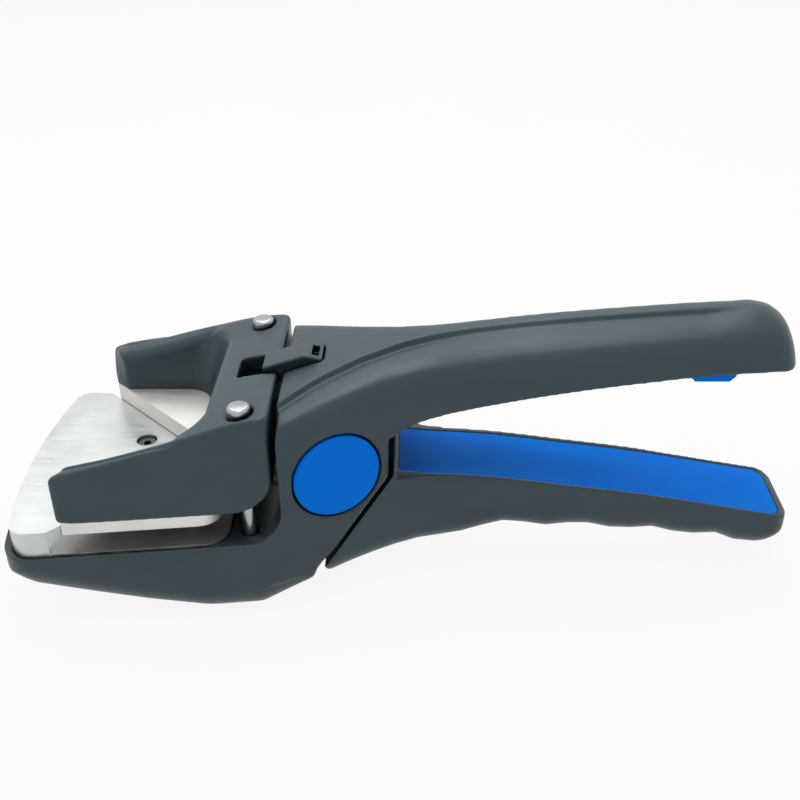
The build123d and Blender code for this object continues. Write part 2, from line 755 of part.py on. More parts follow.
# Yoke: carries the die, slides on the posts, open window over the V
with BuildPart() as jaw_yoke:
    with BuildSketch(Plane.XY) as outline:
        add(head_sketch(0, NOSE_X - 1, YOKE_REAR))
        fillet(outline.vertices().group_by(Axis.X)[-1], YOKE_PLAN_CORNER)
        add(v_sketch(ARM_SETBACK), mode=Mode.SUBTRACT)
        fillet(outline.vertices().group_by(Axis.X)[0], ARM_TIP_PLAN)
    extrude(amount=TALL)
    with BuildSketch(Plane.XZ) as side:
        with BuildLine():
            Line((YOKE_REAR, skirt_z), (YOKE_REAR, YOKE_TOP))
            Spline(
                (YOKE_REAR, YOKE_TOP),
                (-2.5, YOKE_TOP - 1.4),
                (-13.5, YOKE_TOP - 4.6),
                (-26.5, YOKE_TOP - 8.7),
                (-40.5, YOKE_TOP - 12.7),
                (ARM_FRONT, YOKE_TOP - 15.6),
            )
            Polyline(
                (ARM_FRONT, YOKE_TOP - 15.6),
                (ARM_FRONT, skirt_z),
                (YOKE_REAR, skirt_z),
            )
        make_face()
        fillet(side.vertices().group_by(Axis.X)[0].sort_by(Axis.Y)[-1], ARM_TIP)
        fillet(
            [v for v in side.vertices() if v.X > YOKE_REAR - 0.1 and v.Y < skirt_z + 1],
            YOKE_REAR_CORNER,
        )
    extrude(amount=WIDE / 2, both=True, mode=Mode.INTERSECT)
    # Window with a rear wall that leans back
    for level, rear, corner in (
        (die_top, WINDOW_FOOT_X, WINDOW_FOOT_CORNER),
        (WINDOW_HIGH, WINDOW_TOP_X, WINDOW_TOP_CORNER),
    ):
        with BuildSketch(Plane.XY.offset(level)) as window:
            with Locations(((rear + NOSE_X) / 2 - 5, 0)):
                Rectangle(rear - NOSE_X + 10, 2 * WINDOW_HALF)
            fillet(window.vertices().group_by(Axis.X)[-1], corner)
    loft(mode=Mode.SUBTRACT)
    # Soft upper edges, wider round the window than outside
    top = jaw_yoke.edges().filter_by(lambda e: e.center().Z > 46)
    inner = top.filter_by(lambda e: abs(e.center().Y) < WINDOW_HALF + 0.1 and e.center().X < -9.9)
    fillet(inner, WINDOW_EDGE)
    top = jaw_yoke.edges().filter_by(lambda e: e.center().Z > 50)
    fillet(top.filter_by(lambda e: abs(e.center().Y) > WINDOW_HALF + 2), YOKE_EDGE)
    # Seat of the die inside the skirts
    with BuildSketch(Plane.XY.offset(die_top)):
        add(head_sketch(-SKIRT_WALL, NOSE_X - 9, YOKE_REAR - SKIRT_WALL))
    extrude(amount=-die_top, mode=Mode.SUBTRACT)
    # Centre pocket for the bracket and the lever, open to the rear
    with BuildSketch(Plane.XY.offset(YOKE_POCKET_TOP)):
        with Locations(((pocket_front + YOKE_REAR) / 2 + 1, 0)):
            Rectangle(YOKE_REAR - pocket_front + 2, 2 * YOKE_POCKET_HALF)
    extrude(amount=-YOKE_POCKET_TOP, mode=Mode.SUBTRACT)
    # Slot that the latch slides into
    with BuildSketch(Plane.XY.offset(latch_slot_floor)):
        with Locations(((latch_slot_front + YOKE_REAR) / 2 + 1, 0)):
            Rectangle(YOKE_REAR - latch_slot_front + 2, 2 * LATCH_SLOT_HALF)
    extrude(amount=TALL, mode=Mode.SUBTRACT)
    # Stepped bores: head of the post, clear shaft, bush
    with Locations((0, POST_Y), (0, -POST_Y)):
        with Locations((0, 0, post_seat)):
            Cylinder(
                POST_HEAD_RADIUS + POST_HEAD_GAP,
                TALL / 2,
                align=(Align.CENTER, Align.CENTER, Align.MIN),
                mode=Mode.SUBTRACT,
            )
        Cylinder(
            POST_RADIUS + 2 * RUNNING_GAP,
            post_seat + 1,
            align=(Align.CENTER, Align.CENTER, Align.MIN),
            mode=Mode.SUBTRACT,
        )
        Cylinder(
            bush_radius + PLAY,
            post_seat - BUSH_COVER,
            align=(Align.CENTER, Align.CENTER, Align.MIN),
            mode=Mode.SUBTRACT,
        )
    # Threaded holes of the die and the bracket
    with BuildSketch(Plane.XY.offset(die_top)):
        with Locations((DIE_SCREW_X, DIE_SCREW_Y), (DIE_SCREW_X, -DIE_SCREW_Y)):
            Circle(M3["shank"] + PLAY)
    extrude(amount=die_screw_seat + DIE_SCREW_LONG - die_top, mode=Mode.SUBTRACT)
    with BuildSketch(Plane.XY.offset(YOKE_POCKET_TOP)):
        with Locations((FLANGE_SCREW_X, FLANGE_SCREW_Y), (FLANGE_SCREW_X, -FLANGE_SCREW_Y)):
            Circle(M3["shank"] + PLAY)
    extrude(amount=FLANGE_SCREW_LONG - FLANGE_THICK, mode=Mode.SUBTRACT)
keep(jaw_yoke, "jaw_yoke")

# Guide posts with their heads, and the bushes that run on them
for side, place in ((-1, "near"), (1, "far")):
    with BuildPart() as guide_post:
        with Locations((0, side * POST_Y, POST_ROOT)):
            Cylinder(
                POST_RADIUS, post_neck - POST_ROOT, align=(Align.CENTER, Align.CENTER, Align.MIN)
            )
        with Locations((0, side * POST_Y, post_neck)):
            Cylinder(
                POST_HEAD_RADIUS, POST_HEAD_TALL, align=(Align.CENTER, Align.CENTER, Align.MIN)
            )
        chamfer(guide_post.edges().group_by(Axis.Z)[-1], POST_CHAMFER)
    keep(guide_post, f"guide_post_{place}")
    with BuildPart() as guide_bush:
        with BuildSketch(Plane.XY.offset(post_seat - BUSH_COVER)):
            with Locations((0, side * POST_Y)):
                Circle(bush_radius)
                Circle(POST_RADIUS + RUNNING_GAP, mode=Mode.SUBTRACT)
        extrude(amount=-BUSH_LENGTH)
    keep(guide_bush, f"guide_bush_{place}")

# Return spring between the deck of the body and the bracket
spring_points = []
for k in range(4 * SPRING_TURNS + 1):
    turn = k * math.pi / 2
    climb = SPRING_RUN + 2 * SPRING_TURN_IN + k * spring_rise / (4 * SPRING_TURNS)
    spring_points.append(
        Vector(SPRING_RADIUS * math.cos(turn), SPRING_RADIUS * math.sin(turn), rim_z + climb)
    )
slope = spring_rise / SPRING_TURNS / (2 * math.pi * SPRING_RADIUS)
spring_heads = [
    Vector(-math.sin(k * math.pi / 2), math.cos(k * math.pi / 2), slope).normalized()
    for k in range(4 * SPRING_TURNS + 1)
]
up = Vector(0, 0, 1)
entry = Vector(SPRING_RADIUS * math.cos(SPRING_LEAD), -SPRING_RADIUS * math.sin(SPRING_LEAD), 0)
foot = Vector(entry.X, entry.Y, rim_z)
crown = Vector(entry.X, -entry.Y, flange_under - RUNNING_GAP)
spring_points = [foot + up * SPRING_RUN] + spring_points + [crown - up * SPRING_RUN]
spring_heads = [up] + spring_heads + [up]
with BuildPart() as jaw_spring:
    with BuildLine() as coil:
        Line(foot, spring_points[0])
        for start, end, leave, arrive in zip(
            spring_points, spring_points[1:], spring_heads, spring_heads[1:]
        ):
            middle, heading = biarc_middle(start, end, leave, arrive)
            TangentArc(start, middle, tangent=leave)
            TangentArc(middle, end, tangent=heading)
        Line(spring_points[-1], crown)
    with BuildSketch(Plane(origin=foot, z_dir=(0, 0, 1))):
        RegularPolygon(SPRING_WIRE, 8)
    sweep(path=coil.line)
keep(jaw_spring, "jaw_spring")
samples = [coil.line @ (k / 600) for k in range(601)]
reach = round(600 / SPRING_TURNS / 2)
least = min(
    (a - b).length for i, a in enumerate(samples) for b in samples[i + reach:]
)
print("spring gap to itself", round(least - 2 * SPRING_WIRE, 2), "mm")

# Bracket that hangs under the yoke and takes the drive pin in its slot
with BuildPart() as drive_bracket:
    with BuildSketch(Plane.XY.offset(flange_under)) as plate:
        with Locations(((FLANGE_FRONT + FLANGE_REAR) / 2, 0)):
            Rectangle(FLANGE_REAR - FLANGE_FRONT, 2 * FLANGE_HALF)
        fillet(plate.vertices().group_by(Axis.X)[0], 2 * RIB_THICK)
    extrude(amount=FLANGE_THICK)
    with BuildSketch(Plane.XZ) as tongue:
        with BuildLine():
            Polyline(
                (TONGUE_FRONT, flange_top),
                (TONGUE_FRONT, TONGUE_UNDER + 4),
                (drive_x - 5, TONGUE_UNDER),
                (tongue_back, TONGUE_UNDER),
                (tongue_back, flange_under - 1),
                (FLANGE_REAR, flange_under + 1),
                close=True,
            )
        make_face()
        fillet([v for v in tongue.vertices() if v.Y < flange_under - 1.5], 1.5)
    extrude(amount=TONGUE_HALF, both=True)
    with BuildSketch(Plane.XZ):
        with Locations(drive):
            SlotOverall(DRIVE_SLOT, 2 * (DRIVE_PIN_RADIUS + RUNNING_GAP))
    extrude(amount=TONGUE_HALF * 2, both=True, mode=Mode.SUBTRACT)
    with BuildSketch(Plane.XY.offset(flange_under)):
        with Locations((FLANGE_SCREW_X, FLANGE_SCREW_Y), (FLANGE_SCREW_X, -FLANGE_SCREW_Y)):
            Circle(M3["shank"] + PLAY)
    extrude(amount=FLANGE_THICK, mode=Mode.SUBTRACT)
keep(drive_bracket, "drive_bracket")

for side, place in ((-1, "near"), (1, "far")):
    with BuildPart() as bracket_screw:
        with Locations(
            Plane(
                (FLANGE_SCREW_X, side * FLANGE_SCREW_Y, flange_under),
                x_dir=(1, 0, 0),
                z_dir=(0, 0, -1),
            )
        ):
            add(screw(M3, FLANGE_SCREW_LONG))
    keep(bracket_screw, f"bracket_screw_{place}")

# Lever: forked nose round the bracket, boss on the pivot, tail held in the lower handle
with BuildPart() as lever_arm:
    with BuildSketch(Plane.XZ):
        add(lever_outline(0))
    extrude(amount=LEVER_HALF, both=True)
    with BuildSketch(Plane.XZ):
        with Locations((PIVOT_X - LEVER_BOSS / 3 - WIDE / 4, PIVOT_Z)):
            Rectangle(WIDE / 2, WIDE)
        with Locations(pivot):
            Circle(fork_radius, mode=Mode.SUBTRACT)
    extrude(amount=FORK_HALF, both=True, mode=Mode.SUBTRACT)
    with BuildSketch(Plane.XZ):
        with Locations(pivot):
            Circle(PIVOT_PIN_RADIUS + RUNNING_GAP + PIVOT_BUSH_WALL + PLAY)
        with Locations(drive):
            Circle(DRIVE_PIN_RADIUS + PLAY)
    extrude(amount=LEVER_HALF, both=True, mode=Mode.SUBTRACT)
    with Locations(*lever_screw_seats):
        add(screw_hole(M3, LEVER_SCREW_LONG), mode=Mode.SUBTRACT)
keep(lever_arm, "lever_arm")

with BuildPart() as pivot_bush:
    with BuildSketch(Plane.XZ):
        with Locations(pivot):
            Circle(PIVOT_PIN_RADIUS + RUNNING_GAP + PIVOT_BUSH_WALL)
            Circle(PIVOT_PIN_RADIUS + RUNNING_GAP, mode=Mode.SUBTRACT)
    extrude(amount=LEVER_HALF, both=True)
keep(pivot_bush, "pivot_bush")

with BuildPart() as drive_pin:
    with BuildSketch(Plane.XZ):
        with Locations(drive):
            Circle(DRIVE_PIN_RADIUS)
    extrude(amount=LEVER_HALF, both=True)
keep(drive_pin, "drive_pin")

for seat, place in zip(lever_screw_seats, ("front", "rear")):
    with BuildPart() as lever_screw:
        with Locations(seat):
            add(screw(M3, LEVER_SCREW_LONG))
    keep(lever_screw, f"lever_screw_{place}")

# Pivot pin and the blue caps that close its recesses
with BuildPart() as pivot_pin:
    with BuildSketch(Plane.XZ):
        with Locations(pivot):
            Circle(PIVOT_PIN_RADIUS)
    extrude(amount=PIVOT_PIN_HALF, both=True)
keep(pivot_pin, "pivot_pin")

for side, place in ((-1, "near"), (1, "far")):
    with BuildPart() as pivot_cap:
        with BuildSketch(flank_plane(side, PIVOT_X, PIVOT_Z).offset(-CAP_SINK)):
            Circle(CAP_RADIUS)
        extrude(amount=CAP_THICK)
        outer = pivot_cap.faces().sort_by(Axis.Y)[-1 if side > 0 else 0]
        chamfer(outer.edges(), CAP_EDGE)
    keep(pivot_cap, f"pivot_cap_{place}")

# Lower handle with finger grooves, split from the body along the slanted parting
with BuildPart() as lower_handle:
    with BuildSketch(Plane.XY):
        add(body_plan(LOWER_END, LOWER_CORNER))
    extrude(amount=TALL)
    with BuildSketch(Plane.XZ):
        with BuildLine():
            Line(parting_point(PARTING_X + 0.6, 1), parting_point(handle_top[0][0], 1))
            Line(parting_point(handle_top[0][0], 1), handle_top[0])
            Spline(*handle_top)
            Line(handle_top[-1], (LOWER_END, handle_top[-1][1] - 0.8))
            Line((LOWER_END, handle_top[-1][1] - 0.8), (LOWER_END, grooves[-1][1] + LOWER_ROUND))
            add(groove_line.line)
            Line(grooves[0], parting_point(PARTING_X + 0.6, 1))
        make_face()
    extrude(amount=WIDE / 2, both=True, mode=Mode.INTERSECT)
    # Rounded lower edges that follow the grooves
    for side in (1, -1):
        for point in groove_points:
            half = side * flank_half(point.X)
            add(corner_section(point.X, half, point.Y, GROOVE_ROUND, -1))
        loft(ruled=True, mode=Mode.SUBTRACT)
    add(inlay_block(PLAY, TALL / 4), mode=Mode.SUBTRACT)
    with BuildSketch(Plane.XZ):
        add(lever_outline(PLAY))
    extrude(amount=LEVER_HALF + PLAY, both=True, mode=Mode.SUBTRACT)
    with Locations(*lever_screw_seats):
        add(screw_hole(M3, LEVER_SCREW_LONG), mode=Mode.SUBTRACT)
keep(lower_handle, "lower_handle")

with BuildPart() as handle_inlay:
    add(inlay_block(0, 0))
keep(handle_inlay, "handle_inlay")

# Bumper under the upper handle
with BuildPart() as bumper_pad:
    with BuildSketch(Plane.XZ):
        with BuildLine():
            Polyline(
                (PAD_X - PAD_LONG / 2, pad_top),
                (PAD_X - PAD_LONG / 2, pad_bottom + PAD_CHAMFER),
                (PAD_X - PAD_LONG / 2 + PAD_CHAMFER, pad_bottom),
                (PAD_X + PAD_LONG / 2 - PAD_CHAMFER, pad_bottom),
                (PAD_X + PAD_LONG / 2, pad_bottom + PAD_CHAMFER),
                (PAD_X + PAD_LONG / 2, pad_top),
                close=True,
            )
        make_face()
    extrude(amount=PAD_HALF, both=True)
keep(bumper_pad, "bumper_pad")

# Latch: a bar that slides over the yoke to hold it down, with its detent plunger
with BuildPart() as latch_bar:
    with BuildSketch(Plane.XZ) as side:
        with BuildLine():
            Polyline(
                (LATCH_FRONT, LATCH_UNDER),
                (LATCH_FRONT, latch_top(LATCH_FRONT)),
                (PLUNGER_X, latch_top(PLUNGER_X)),
                (LATCH_REAR, latch_top(PLUNGER_X) - 1.2),
                (LATCH_REAR, LATCH_UNDER),
                close=True,
            )
        make_face()
        fillet(side.vertices().group_by(Axis.Y)[-1], 3.0)
    extrude(amount=LATCH_HALF, both=True)
    chamfer(
        latch_bar.edges().filter_by(
            lambda e: e.center().Z > LATCH_UNDER + 3 and abs(e.center().Y) > LATCH_HALF - 0.1
        ),
        LATCH_EDGE,
    )
    with BuildSketch(Plane.XY.offset(LATCH_UNDER)):
        with Locations(((body_face + LATCH_REAR) / 2 + LATCH_GAP, 0)):
            Rectangle(LATCH_REAR - body_face - 2 * LATCH_GAP, 2 * LATCH_FOOT_HALF)
    extrude(amount=LATCH_FOOT_TALL)
    # Slot for a finger nail near the rear end
    with BuildSketch(Plane.XY.offset(latch_top(PLUNGER_X))):
        with Locations((LATCH_REAR - NAIL_SLOT_LONG, 0)):
            Rectangle(NAIL_SLOT_LONG, 2 * NAIL_SLOT_HALF)
    extrude(amount=-NAIL_SLOT_DEEP, mode=Mode.SUBTRACT)
keep(latch_bar, "latch_bar")

with BuildPart() as latch_plunger:
    with Locations((PLUNGER_X, 0, latch_floor - PLUNGER_TALL)):
        Cylinder(
            PLUNGER_RADIUS,
            PLUNGER_TALL,
            align=(Align.CENTER, Align.CENTER, Align.MIN),
        )
    chamfer(latch_plunger.edges().group_by(Axis.Z)[-1], PLUNGER_RADIUS / 3)
keep(latch_plunger, "latch_plunger")
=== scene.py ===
import math

import bmesh
import bpy
import numpy as np
from mathutils import Matrix, Vector


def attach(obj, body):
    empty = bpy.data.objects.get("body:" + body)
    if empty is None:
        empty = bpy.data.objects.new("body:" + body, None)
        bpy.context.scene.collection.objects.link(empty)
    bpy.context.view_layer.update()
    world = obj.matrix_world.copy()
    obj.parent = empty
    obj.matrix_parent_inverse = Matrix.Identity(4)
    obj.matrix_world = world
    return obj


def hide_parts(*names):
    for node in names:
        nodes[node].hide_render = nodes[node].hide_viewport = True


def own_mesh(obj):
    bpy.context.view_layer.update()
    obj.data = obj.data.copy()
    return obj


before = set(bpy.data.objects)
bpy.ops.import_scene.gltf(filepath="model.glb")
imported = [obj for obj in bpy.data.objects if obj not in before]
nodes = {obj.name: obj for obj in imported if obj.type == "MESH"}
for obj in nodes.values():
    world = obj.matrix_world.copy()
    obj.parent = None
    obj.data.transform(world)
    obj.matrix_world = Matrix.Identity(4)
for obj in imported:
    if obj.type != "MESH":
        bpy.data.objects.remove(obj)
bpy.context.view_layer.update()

# A card corner cutter, dressed. Sizes of its forms are millimetres, the room's are metres.

# One millimetre in metres
MM = 0.001
# Keeps a division clear of zero
TINY = 1e-6


# Helpers for node trees

def linear(code):
    """sRGB hex code to the linear colour that the shaders want."""
    parts = [int(code[i:i + 2], 16) / 255 for i in (1, 3, 5)]
    return tuple(p / 12.92 if p <= 0.04045 else ((p + 0.055) / 1.055) ** 2.4 for p in parts) + (1.0,)


WHITE = linear("#ffffff")


def per_mm(size):
    """Texture scale at which one cell of a pattern is the given size in millimetres."""
    return 1.0 / (size * MM)


def add_node(tree, kind, links=None, **settings):
    """Adds a node: settings are its own properties or its inputs' values, links feed its inputs."""
    made = tree.nodes.new(kind)
    for name, value in settings.items():
        if hasattr(made, name):
            setattr(made, name, value)
        else:
            made.inputs[name.replace("_", " ")].default_value = value
    for socket, source in (links or {}).items():
        tree.links.new(source, made.inputs[socket])
    return made


def seen_by(tree, *rays):
    """1 for rays of the named kinds, 0 for all others."""
    path = add_node(tree, "ShaderNodeLightPath")
    seen = path.outputs[rays[0]]
    for ray in rays[1:]:
        both = {0: seen, 1: path.outputs[ray]}
        seen = add_node(tree, "ShaderNodeMath", both, operation="ADD", use_clamp=True).outputs[0]
    return seen


# Places of the colours among the mix node's sockets
MIX_BASE, MIX_OVER, MIX_RESULT = 6, 7, 2


class Finish:
    """A material in the making: its tree, its principled shader and the place on the object."""

    def __init__(self, name, colour, **shader):
        self.material = bpy.data.materials.new(name)
        self.material.use_nodes = True
        self.tree = self.material.node_tree
        self.shader = self.tree.nodes["Principled BSDF"]
        self.shader.inputs["Base Color"].default_value = linear(colour)
        for socket, value in shader.items():
            self.shader.inputs[socket.replace("_", " ")].default_value = value
        self.place = self.node("ShaderNodeTexCoord").outputs["Object"]
        self.colour = colour
        self.normal = None

    def node(self, kind, links=None, **settings):
        return add_node(self.tree, kind, links, **settings)

    def noise(self, size, detail=2.0, stretch=None, slant=0.0):
        """Noise with cells of a size in millimetres, drawn out along axes for lines and grain."""
        place = {"Vector": self.place}
        if stretch:
            turned = self.node("ShaderNodeMapping", place, Rotation=(0.0, 0.0, slant)).outputs[0]
            drawn = self.node("ShaderNodeMapping", {"Vector": turned}, Scale=stretch).outputs[0]
            place = {"Vector": drawn}
        return self.node("ShaderNodeTexNoise", place, Scale=per_mm(size), Detail=detail).outputs[0]

    def span(self, value, low, high, first=0.3, last=0.7):
        """The value's range first to last, mapped to low to high."""
        return self.node("ShaderNodeMapRange", {"Value": value}, From_Min=first, From_Max=last,
                         To_Min=low, To_Max=high).outputs[0]

    def mix(self, factor, base, over):
        """One colour over another; either may be a hex value."""
        made = self.node("ShaderNodeMix", {"Factor": factor}, data_type="RGBA")
        for socket, colour in ((MIX_BASE, base), (MIX_OVER, over)):
            if isinstance(colour, str):
                made.inputs[socket].default_value = linear(colour)
            else:
                self.tree.links.new(colour, made.inputs[socket])
        return made.outputs[MIX_RESULT]

    def shade(self, pattern, over, first=0.3, last=0.7):
        """The finish's own colour, going over to another as the pattern rises from first to last."""
        return self.mix(self.span(pattern, 0.0, 1.0, first, last), self.colour, over)

    def worn(self, most, first, last):
        """How far an outer edge is worn, up to most, as it gets sharper from first to last."""
        sharp = self.node("ShaderNodeNewGeometry").outputs["Pointiness"]
        return self.span(sharp, 0.0, most, first, last)

    def feed(self, socket, source):
        self.tree.links.new(source, self.shader.inputs[socket])

    def bump(self, height, depth):
        """Relief of a depth in millimetres, laid over any relief before it."""
        links = {"Height": height}
        if self.normal is not None:
            links["Normal"] = self.normal
        self.normal = self.node("ShaderNodeBump", links, Distance=depth * MM, Strength=1.0).outputs[0]
        self.feed("Normal", self.normal)


# Finishes

def moulded_nylon():
    """Glass filled nylon from a spark eroded mould.

    Gives a dark slate grey with a broad dull highlight, a very fine even grain, faint clouds
    where the melt flowed, paler edges where hands have polished it, and painted shade that
    darkens gaps and corners.
    """
    f = Finish("moulded_nylon", "#2f4249", IOR=1.53, Specular_IOR_Level=0.35)
    cloud = f.noise(24, 4.0)
    flow = f.noise(9, 3.0, stretch=(0.3, 1.0, 1.0))
    tone = f.mix(f.worn(0.55, 0.53, 0.60), f.shade(flow, "#364950"), "#4a5b62")
    # Painted shade: gaps and corners are darkened towards near black within about 9 mm
    painted_shade_ao = f.node("ShaderNodeAmbientOcclusion", samples=6, Distance=9 * MM).outputs["AO"]
    f.feed("Base Color", f.mix(f.span(painted_shade_ao, 0.0, 1.0, 0.4, 0.9), "#06080a", tone))
    f.feed("Roughness", f.span(cloud, 0.34, 0.41))
    # Eroded grain is about 0.1 mm, drawn at 0.4 mm so that it shows
    f.bump(f.noise(0.4, 2.0), 0.02)
    return f.material


def dyed_abs():
    """Blue ABS, moulded smooth.

    Gives an even strong blue with a soft sheen, slight waves from shrinkage and hair scratches.
    """
    f = Finish("dyed_abs", "#007cf2", IOR=1.54, Specular_IOR_Level=0.04)
    f.feed("Base Color", f.shade(f.noise(18, 3.0), "#0084fa"))
    rubbed = f.noise(0.5, 3.0, stretch=(0.04, 1.0, 1.0), slant=0.5)
    f.feed("Roughness", f.span(rubbed, 0.32, 0.42, 0.35, 0.65))
    f.bump(f.noise(5, 2.0), 0.05)
    f.bump(f.noise(0.35, 2.0), 0.008)
    return f.material


def brushed_bed_steel():
    """Stainless tool steel, brushed along the plate.

    Gives a pale grey with fine straight lines, cloudy handling marks and stray scratches.
    """
    f = Finish("brushed_bed_steel", "#bcc0c0", Metallic=1.0)
    lines = f.noise(0.35, 2.0, stretch=(0.02, 1.0, 0.3))
    cloud = f.noise(14, 4.0)
    stray = f.noise(0.6, 4.0, stretch=(0.03, 1.0, 1.0), slant=0.9)
    scratched = f.span(stray, 0.0, 0.5, 0.68, 0.74)
    f.feed("Base Color", f.mix(scratched, f.shade(cloud, "#d0d3d2"), "#a4a7a6"))
    f.feed("Roughness", f.span(lines, 0.28, 0.44))
    f.bump(lines, 0.006)
    return f.material


def ground_die_steel():
    """Hardened die steel, surface ground: slightly warm pale grey, satin, with a fine grain."""
    f = Finish("ground_die_steel", "#e4e3dd", Metallic=0.85)
    lines = f.noise(0.3, 2.0, stretch=(0.03, 1.0, 1.0))
    f.feed("Base Color", f.shade(f.noise(10, 4.0), "#edece8"))
    f.feed("Roughness", f.span(lines, 0.44, 0.58))
    f.bump(lines, 0.002)
    return f.material


def turned_pin_steel():
    """Bright drawn bar: smooth grey steel with a clear reflection and slight tarnish."""
    f = Finish("turned_pin_steel", "#9fa2a4", Metallic=1.0)
    rings = f.noise(0.25, 2.0, stretch=(1.0, 1.0, 0.1))
    f.feed("Base Color", f.shade(f.noise(4, 3.0), "#b0b3b5"))
    f.feed("Roughness", f.span(rings, 0.18, 0.32))
    f.bump(rings, 0.001)
    return f.material


def black_oxide():
    """Alloy steel screws, black oxide: near black with an oily sheen and bare worn edges."""
    f = Finish("black_oxide", "#151618", Metallic=0.7)
    body = f.shade(f.noise(1.5, 3.0), "#26282b")
    f.feed("Base Color", f.mix(f.worn(0.8, 0.52, 0.6), body, "#6a6c6e"))
    f.feed("Roughness", f.span(f.noise(0.8, 2.0), 0.34, 0.5))
    f.bump(f.noise(0.3, 2.0), 0.006)
    return f.material


def sintered_bronze():
    """Oil filled sintered bronze: brown gold, matt, with open pores."""
    f = Finish("sintered_bronze", "#5f4a2c", Metallic=1.0)
    pores = f.noise(0.4, 3.0)
    f.feed("Base Color", f.shade(pores, "#ad8a54", 0.35, 0.5))
    f.feed("Roughness", f.span(pores, 0.5, 0.36))
    f.bump(pores, 0.01)
    return f.material


def blackened_casting():
    """Investment cast lever, blackened: dark iron grey, slightly pebbled."""
    f = Finish("blackened_casting", "#242629", Metallic=0.85)
    f.feed("Base Color", f.shade(f.noise(3, 4.0), "#3a3c40"))
    f.feed("Roughness", f.span(f.noise(1.2, 3.0), 0.42, 0.58))
    f.bump(f.noise(0.5, 3.0), 0.03)
    return f.material


def drawn_wire():
    """Patented spring wire: smooth dark silver with drawing lines along it."""
    f = Finish("drawn_wire", "#74787b", Metallic=1.0)
    lines = f.noise(0.2, 2.0, stretch=(1.0, 1.0, 0.2))
    f.feed("Base Color", f.shade(f.noise(2, 3.0), "#9ca0a3"))
    f.feed("Roughness", f.span(lines, 0.22, 0.36))
    f.bump(lines, 0.003)
    return f.material


def zinc_plate():
    """Zinc plated pressing: bluish silver with a faint spangle."""
    f = Finish("zinc_plate", "#98a0a7", Metallic=1.0)
    f.feed("Base Color", f.shade(f.noise(2.5, 3.0), "#b6bcc1"))
    f.feed("Roughness", f.span(f.noise(1.0, 2.0), 0.28, 0.42))
    f.bump(f.noise(0.6, 2.0), 0.004)
    return f.material


def dress(material, *names):
    """Gives CAD nodes their finish."""
    for name in names:
        slots = nodes[name].data.materials
        slots.clear()
        slots.append(material)


# Tools for mouldings, which work on rows of points in millimetres

def melt(piece, voxel):
    """Remeshes a piece in voxels of a size in millimetres, shaded smoothly."""
    made = piece.modifiers.new("melt", "REMESH")
    made.mode = "VOXEL"
    made.voxel_size = voxel * MM
    made.use_smooth_shade = True


def soften(name, voxel, turns):
    """Rounds the sharp edges of a moulded CAD node and shades it smoothly."""
    piece = nodes[name]
    melt(piece, voxel)
    ease = piece.modifiers.new("ease", "SMOOTH")
    ease.factor = 0.5
    ease.iterations = turns


def rows_of(items, field, width, kind=np.float64):
    """One field of a mesh's vertices or edges, a row for each."""
    flat = np.empty(width * len(items), dtype=kind)
    items.foreach_get(field, flat)
    return flat.reshape(-1, width)


def relax(spots, ends, share, turns):
    """Draws each point up to half of the way to its neighbours' middle, turn by turn."""
    first, second = ends.T
    total = len(spots)
    count = np.bincount(ends.ravel(), minlength=total)[:, None]
    for _ in range(turns):
        sums = [np.bincount(first, axis[second], total) + np.bincount(second, axis[first], total)
                for axis in spots.T]
        middle = np.stack(sums, axis=1) / count
        spots = spots + share[:, None] / 2 * (middle - spots)
    return spots


def folded(spots, shift=0.0):
    """Both sides laid on the side of positive Y, the far one moved in by twice the shift."""
    return np.stack([spots[:, 0], np.abs(spots[:, 1] - shift) - shift, spots[:, 2]], axis=1)


def from_line(spots, line):
    """Distance of each point from a run of straight lines, and how far it lies outward of them."""
    near = np.full(len(spots), np.inf)
    outward = np.zeros(len(spots))
    for start, end in zip(line, line[1:]):
        start, run = np.array(start), np.array(end) - np.array(start)
        along = np.clip((spots - start) @ run / (run @ run), 0, 1)
        off = spots - start - along[:, None] * run
        away = np.linalg.norm(off, axis=1)
        side = np.array((0, 1, 0)) - run * run[1] / (run @ run)
        closer = away < near
        near[closer] = away[closer]
        outward[closer] = (off @ side)[closer]
    return near, outward


def fade(value, full, none):
    """1 at full, 0 at none, eased between."""
    share = np.clip((value - none) / (full - none), 0, 1)
    return share * share * (3 - 2 * share)


def recast(name, body, voxel, turns, sculpt, material):
    """A moulding in place of its CAD node: the node's own form, then its soft lines and eased edges."""
    piece = bpy.data.objects.new(name + "_moulding", nodes[name].data.copy())
    bpy.context.scene.collection.objects.link(piece)
    melt(piece, voxel)
    view = bpy.context.evaluated_depsgraph_get()
    mesh = bpy.data.meshes.new_from_object(piece.evaluated_get(view))
    piece.modifiers.clear()
    piece.data = mesh
    spots = rows_of(mesh.vertices, "co", 3) / MM
    ends = rows_of(mesh.edges, "vertices", 2, np.int64)
    spots = relax(spots, ends, np.ones(len(spots)), turns)
    spots = sculpt(spots, ends)
    mesh.vertices.foreach_set("co", (spots * MM).ravel())
    mesh.update()
    mesh.materials.clear()
    mesh.materials.append(material)
    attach(piece, body)
    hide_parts(name)


# Body: lines of its soft forms as X, Y and Z of one side, and the sizes of those forms

# Edge of the flat top, which narrows to a ridge down the spine of the grip
CREASE = ((7.5, 23.2, 64.2), (9.8, 21.4, 64.8), (20.7, 13.5, 68.3), (31.2, 7.7, 70.9),
          (42.0, 3.6, 73.1), (50.2, 2.0, 74.5), (58.5, 1.5, 75.9), (69.5, 1.4, 77.4),
          (91.0, 1.4, 79.7), (112.0, 1.4, 81.2), (142.0, 1.4, 82.2))
